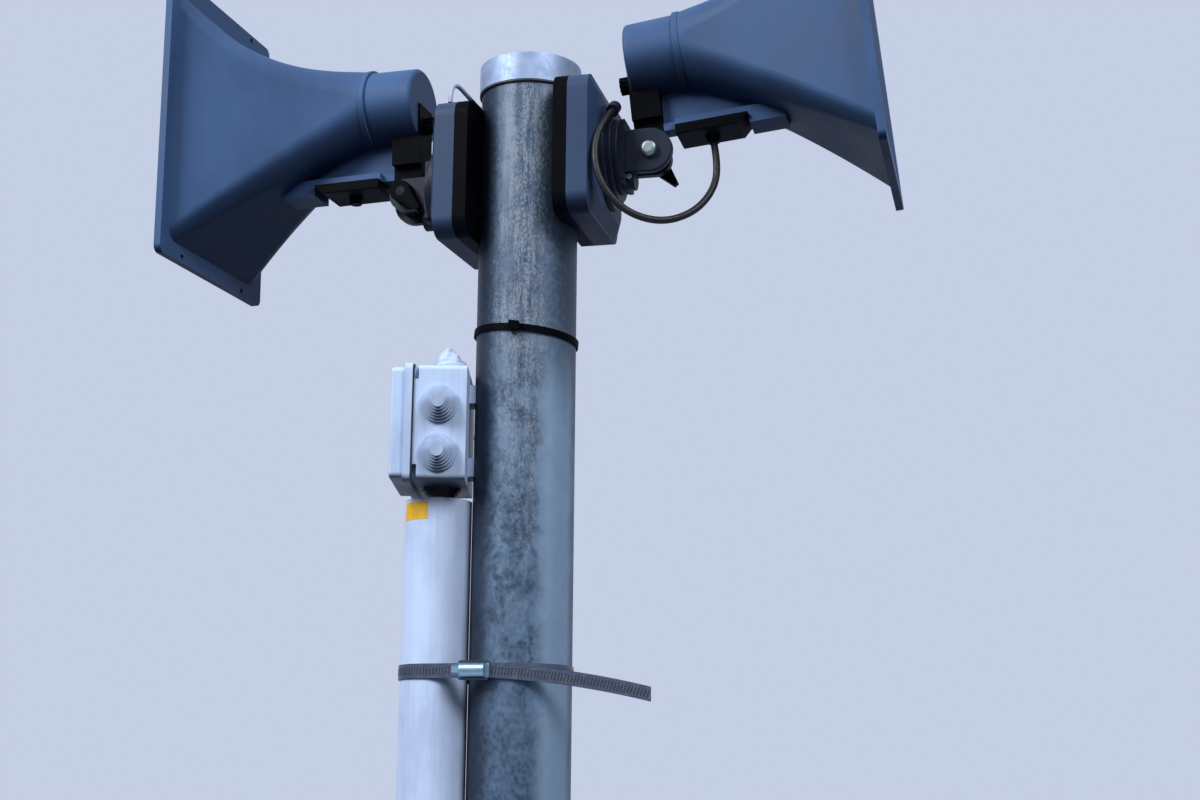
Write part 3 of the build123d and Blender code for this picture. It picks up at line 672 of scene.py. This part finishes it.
def screw_recipe():
    """Cross-head screws on the vertices of a mesh, each facing the way kept in its attribute."""
    recipe = Recipe("cross_head_screws", ("Head radius", "Head height", "Recess width"))
    radius = recipe.given["Head radius"]
    height = recipe.given["Head height"]
    width = recipe.given["Recess width"]
    crown_radius = recipe.times(radius, crown_radius_share)
    crown_height = recipe.times(height, crown_height_share)
    head, crown = (
        recipe.node("GeometryNodeMeshCylinder", (), {
            "Vertices": screw_sides, "Radius": wide, "Depth": deep,
        })
        for wide, deep in ((radius, height), (crown_radius, crown_height))
    )
    recess_length = recipe.times(radius, recess_length_share)
    recess_height = recipe.times(height, recess_height_share)
    bars = [
        recipe.node("GeometryNodeMeshCube", (), {"Size": recipe.vector(*size)})
        for size in ((recess_length, width, recess_height), (width, recess_length, recess_height))
    ]
    cross = recipe.node("GeometryNodeJoinGeometry", (), {"Geometry": bars})
    marked = recipe.node(
        "GeometryNodeStoreNamedAttribute", {"data_type": "BOOLEAN", "domain": "FACE"},
        {"Geometry": cross, "Name": "recess", "Value": True},
    )
    screw = recipe.node("GeometryNodeJoinGeometry", (), {"Geometry": [head, crown, marked]})
    facing = recipe.node(
        "GeometryNodeInputNamedAttribute", {"data_type": "FLOAT_VECTOR"}, {"Name": "facing"}
    )
    turn = recipe.node("FunctionNodeAlignRotationToVector", {"axis": "Z"}, {"Vector": facing})
    screws = recipe.node("GeometryNodeInstanceOnPoints", (), {
        "Points": recipe.given["Geometry"], "Instance": screw, "Rotation": turn,
    })
    recipe.end(screws, bolt_steel, {"recess": slot_shadow})
    return recipe


def seats(places, facing):
    """Mesh of loose vertices that carry the way their screws face."""
    mesh = bpy.data.meshes.new("seats")
    mesh.from_pydata([tuple(place) for place in places], [], [])
    held = mesh.attributes.new("facing", "FLOAT_VECTOR", "POINT")
    for item, way in zip(held.data, facing):
        item.vector = way
    return mesh


def line_mesh(points, closed=False):
    """Mesh of edges along the points."""
    mesh = bpy.data.meshes.new("line")
    edges = [(i, i + 1) for i in range(len(points) - 1)]
    if closed:
        edges.append((len(points) - 1, 0))
    mesh.from_pydata([tuple(point) for point in points], edges, [])
    return mesh


def arc_points(centre, radius, first, last, height, count):
    """Points on an arc about an upright axis, from one bearing to another."""
    bearings = [first + (last - first) * i / count for i in range(count + 1)]
    return [
        Vector((centre + radius * cos(bearing), radius * sin(bearing), height))
        for bearing in bearings
    ]


def join_rings(build, rings):
    """Four-sided faces between each ring of vertices and the next."""
    for first, second in zip(rings, rings[1:]):
        for i in range(len(first)):
            j = (i + 1) % len(first)
            build.faces.new((first[i], first[j], second[j], second[i]))


def add_band_slots():
    """Perforations of the worm-drive bands and of the upper one's spare end."""
    recipe = slot_recipe()
    slots = {
        "Pitch": slot_pitch, "Slot width": slot_width, "Slot length": slot_length,
        "Slot depth": slot_depth, "Slant": slot_slant,
    }
    lean = asin((pole_radius - pipe_radius) / pipe_offset)
    side = pi / 2 + lean
    outside = seat_gap + band_thickness
    for name, height in clamp_heights.items():
        loop = arc_points(0, pole_radius + outside, -side, side, height, pole_arc_steps)
        loop += arc_points(
            -pipe_offset, pipe_radius + outside, side, 2 * pi - side, height, pipe_arc_steps
        )
        recipe.make(f"band_slots_{name}", line_mesh(loop, closed=True), "mast", slots)

    outward = Vector((-sin(lean), -cos(lean), 0))
    along = Vector((cos(lean), -sin(lean), 0))
    seat = outward * (pole_radius + outside) - along * worm_setback
    spare = []
    for i in range(tail_steps + 1):
        share = (i + tail_margin) / (tail_steps + 2 * tail_margin)
        fall = tail_droop * ((4 * tail_bow - 1) * share + (2 - 4 * tail_bow) * share**2)
        reach = worm_length / 2 + tail_length * share
        rise = Vector((0, 0, clamp_heights["upper"] - fall))
        spare.append(seat + along * reach + outward * band_thickness + rise)
    recipe.make("tail_slots", line_mesh(spare), "mast", slots)


def add_screws():
    """Lid screws of the junction box, and the lock screws of the two forks."""
    recipe = screw_recipe()
    lid_low, lid_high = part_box("junction_lid")
    middle = (lid_low + lid_high) / 2
    head_middle = lid_low.x + well_depth - lid_screw_height / 2
    wells = [
        (head_middle, middle.y + y * well_offset, middle.z + z * well_offset)
        for y in (-1, 1)
        for z in (-1, 1)
    ]
    recipe.make("lid_screws", seats(wells, [(-1, 0, 0)] * len(wells)), "mast", {
        "Head radius": lid_screw_radius, "Head height": lid_screw_height,
        "Recess width": lid_recess_width,
    })
    for side in unit_bearing:
        place = unit_place(side)
        facing = place.to_3x3() @ Vector((0, -1, 0))
        seat = seats([place @ Vector(lock_screw_place)], [facing])
        recipe.make(f"lock_screw_{side}", seat, f"swivel_{side}", {
            "Head radius": lock_screw_radius, "Head height": lock_screw_height,
            "Recess width": lock_recess_width,
        })


def add_sticker():
    """Blank yellow sticker round the near left of the cable pipe, just below its end."""
    build = bmesh.new()
    rows = []
    for skin in (0.0, sticker_thickness):
        radius = pipe_radius + sticker_gap + skin
        for height in (sticker_bottom, sticker_top):
            row = arc_points(-pipe_offset, radius, sticker_from, sticker_to, height, sticker_steps)
            rows.append([build.verts.new(place) for place in row])
    inner_low, inner_high, outer_low, outer_high = rows
    for first, second in (
        (inner_low, inner_high), (inner_high, outer_high),
        (outer_high, outer_low), (outer_low, inner_low),
    ):
        for i in range(sticker_steps):
            build.faces.new((first[i], first[i + 1], second[i + 1], second[i]))
    for i in (0, sticker_steps):
        build.faces.new((inner_low[i], inner_high[i], outer_high[i], outer_low[i]))
    add_piece("blank_sticker", mesh_of(build), "mast", sticker_paper)


def add_lid_gap_shade():
    """Dark lip under the rim of the junction box's lid: painted shade of the gap between lid and body."""
    body_low, body_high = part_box("junction_body")
    build = bmesh.new()
    rings = []
    for x, proud in (
        (body_low.x, -gap_shade_lip), (body_low.x, gap_shade_lip),
        (body_low.x + gap_shade_width, gap_shade_lip), (body_low.x + gap_shade_width, -gap_shade_lip),
    ):
        ring = []
        for corner in range(4):
            turn = corner * pi / 2
            sign_y = 1 if corner in (0, 3) else -1
            sign_z = 1 if corner in (0, 1) else -1
            centre_y = (body_high.y if sign_y > 0 else body_low.y) - sign_y * gap_shade_corner
            centre_z = (body_high.z if sign_z > 0 else body_low.z) - sign_z * gap_shade_corner
            reach = gap_shade_corner + proud
            for i in range(gap_shade_corner_steps + 1):
                bearing = turn + i / gap_shade_corner_steps * pi / 2
                ring.append(build.verts.new((
                    x, centre_y + reach * cos(bearing), centre_z + reach * sin(bearing)
                )))
        rings.append(ring)
    join_rings(build, rings + rings[:1])
    add_piece("lid_gap_shade", mesh_of(build), "mast", painted_shade_rubber)


def add_cap_shade_strip():
    """Black strip round the pole, just under the skirt of its cap: painted shade under the cap's rim."""
    cap_low, cap_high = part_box("pole_cap")
    build = bmesh.new()
    rings = []
    for radius, drop in (
        (pole_radius, 0.0), (cap_high.x, 0.0), (cap_high.x, cap_shade_strip_edge),
        (cap_high.x - cap_shade_strip_bevel, cap_shade_strip_height), (pole_radius, cap_shade_strip_height),
    ):
        ring = arc_points(0, radius, 0, 2 * pi, cap_low.z - drop, cap_shade_strip_steps)[:-1]
        rings.append([build.verts.new(place) for place in ring])
    join_rings(build, rings + rings[:1])
    add_piece("cap_shade_strip", mesh_of(build), "mast", painted_shade_rubber)


def fold_share(bearing, lift):
    """How far the grommet's skin is folded out or in at a bearing and a share of its height."""
    broad = broad_fold * lift * sin(3 * bearing + 5 * lift)
    fine = fine_fold * lift * sin(7 * bearing - 9 * lift)
    return min(1 + broad + fine, 1.0 if lift < grommet_foot else fold_limit)


def add_top_grommet():
    """Cone grommet on top of the junction box, crumpled and slumped to one side."""
    low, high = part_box("grommet_top")
    middle = (low + high) / 2
    radius = (high.x - low.x) / 2
    rise = high.z - low.z
    build = bmesh.new()
    rings = []
    for share, lift in grommet_profile:
        ring = []
        slump = grommet_slump * lift * radius
        for i in range(grommet_steps):
            bearing = 2 * pi * i / grommet_steps
            reach = radius * share * fold_share(bearing, lift) * grommet_fit
            drop = grommet_sag * rise * lift * (1 + sin(2 * bearing + 1.0))
            ring.append(build.verts.new((
                middle.x - slump + reach * cos(bearing),
                middle.y + reach * sin(bearing),
                low.z + rise * lift - drop,
            )))
        rings.append(ring)
    join_rings(build, rings)
    build.faces.new(reversed(rings[0]))
    crumpled = add_piece("grommet_top_crumpled", mesh_of(build), "mast", grommet_rubber)
    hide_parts("grommet_top")


def add_lead():
    """Lead of the right horn: it hangs in a loop from its gland to the swivel disc."""
    place = unit_place("right")
    points = [place @ Vector(point) for point in lead_route]
    line = route_line(points)
    lead = add_piece("lead_right_cord", curve_mesh(points, lead_diameter / 2), None, lead_rubber)
    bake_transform(lead)
    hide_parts("lead_right")


def add_feed_cable():
    """Grey cable of the left unit: over its back plate and down the back of the pole."""
    points = [Vector((x, y, pole_height - drop)) for x, y, drop in feed_route]
    line = route_line(points)
    cable = add_piece("feed_cable_cord", curve_mesh(points, feed_diameter / 2), "mast", feed_sheath)
    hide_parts("feed_cable")


add_lead()
add_feed_cable()
add_band_slots()
add_screws()
add_sticker()
add_lid_gap_shade()
add_cap_shade_strip()
add_top_grommet()

# Camera where the photograph was taken from: slightly below the horns, held a little askew
camera_place = Vector((0.0567, -1.356, 1.680))
camera_pitch = radians(12.87)
camera_roll = 0.0085
photo_width = 1200
focal_pixels = 1834.0
sensor_width = 36.0

camera_data = bpy.data.cameras.new("camera")
camera_data.sensor_width = sensor_width
camera_data.lens = focal_pixels / photo_width * sensor_width
camera = bpy.data.objects.new("camera", camera_data)
camera.matrix_world = (
    Matrix.Translation(camera_place)
    @ Matrix.Rotation(pi / 2 + camera_pitch, 4, "X")
    @ Matrix.Rotation(camera_roll, 4, "Z")
)
bpy.context.scene.collection.objects.link(camera)
bpy.context.scene.camera = camera
bpy.context.scene.view_settings.view_transform = "Standard"

# Studio: backdrop, sky, floor and lamps
backdrop_colour = tone(196, 206, 228)
sky_below = tone(6, 9, 16)
sky_above = tone(240, 244, 250)
sky_rise = (-0.15, 0.9)
sky_strength = 0.6
floor_shade = tone(60, 64, 74)
floor_radius = 9.0
floor_sides = 96
lamp_size = 1.4
lamp_colour = (0.9, 0.95, 1.0)


def seen_directly(finish):
    """1 where a camera, glossy or transmitted ray looks, else 0."""
    looks = [
        finish.node("LightPath", output=name)
        for name in ("Is Camera Ray", "Is Glossy Ray", "Is Transmission Ray")
    ]
    return finish.step(looks[0] + looks[1] + looks[2], 0.0, 1.0)


def make_world():
    """Soft sky light from above, hardly any from below; plain and pale where it is looked at."""
    world = bpy.data.worlds.new("studio")
    bpy.context.scene.world = world
    finish = Finish("studio", world)
    direction = finish.node("TexCoord", output="Generated")
    upward = finish.node("SeparateXYZ", (), {"Vector": direction}, output="Z")
    light = finish.mix(finish.step(upward, *sky_rise), sky_below, sky_above)
    lit = finish.node("Background", (), {"Color": light, "Strength": sky_strength})
    shown = finish.node("Background", (), {"Color": backdrop_colour, "Strength": 1.0})
    both = finish.node("MixShader", (), {0: seen_directly(finish), 1: lit, 2: shown})
    finish.node("OutputWorld", (), {"Surface": both})


def make_floor():
    """Pale floor that takes the shadow and sends little light back up."""
    finish = Finish("studio_floor")
    pale = finish.node("BsdfDiffuse", (), {"Color": backdrop_colour})
    dim = finish.node("BsdfDiffuse", (), {"Color": floor_shade})
    both = finish.node("MixShader", (), {0: seen_directly(finish), 1: dim, 2: pale})
    finish.node("OutputMaterial", (), {"Surface": both})
    build = bmesh.new()
    bmesh.ops.create_circle(build, cap_ends=True, segments=floor_sides, radius=floor_radius)
    floor = add_piece("floor", mesh_of(build), None, finish.owner)


def add_lamp(name, place, target, power):
    """Square soft lamp that shines from a place to a target."""
    lamp = bpy.data.lights.new(name, "AREA")
    lamp.size = lamp_size
    lamp.energy = power
    lamp.color = lamp_colour
    held = bpy.data.objects.new(name, lamp)
    way = Vector(target) - Vector(place)
    held.matrix_world = Matrix.Translation(place) @ way.to_track_quat("-Z", "Y").to_matrix().to_4x4()
    bpy.context.scene.collection.objects.link(held)


make_world()
make_floor()
add_lamp("key", place=(-2.3, -1.6, 4.1), target=(0, 0, 2.0), power=150.0)
add_lamp("fill", place=(1.6, -2.3, 4.2), target=(0, 0, 1.8), power=94.0)
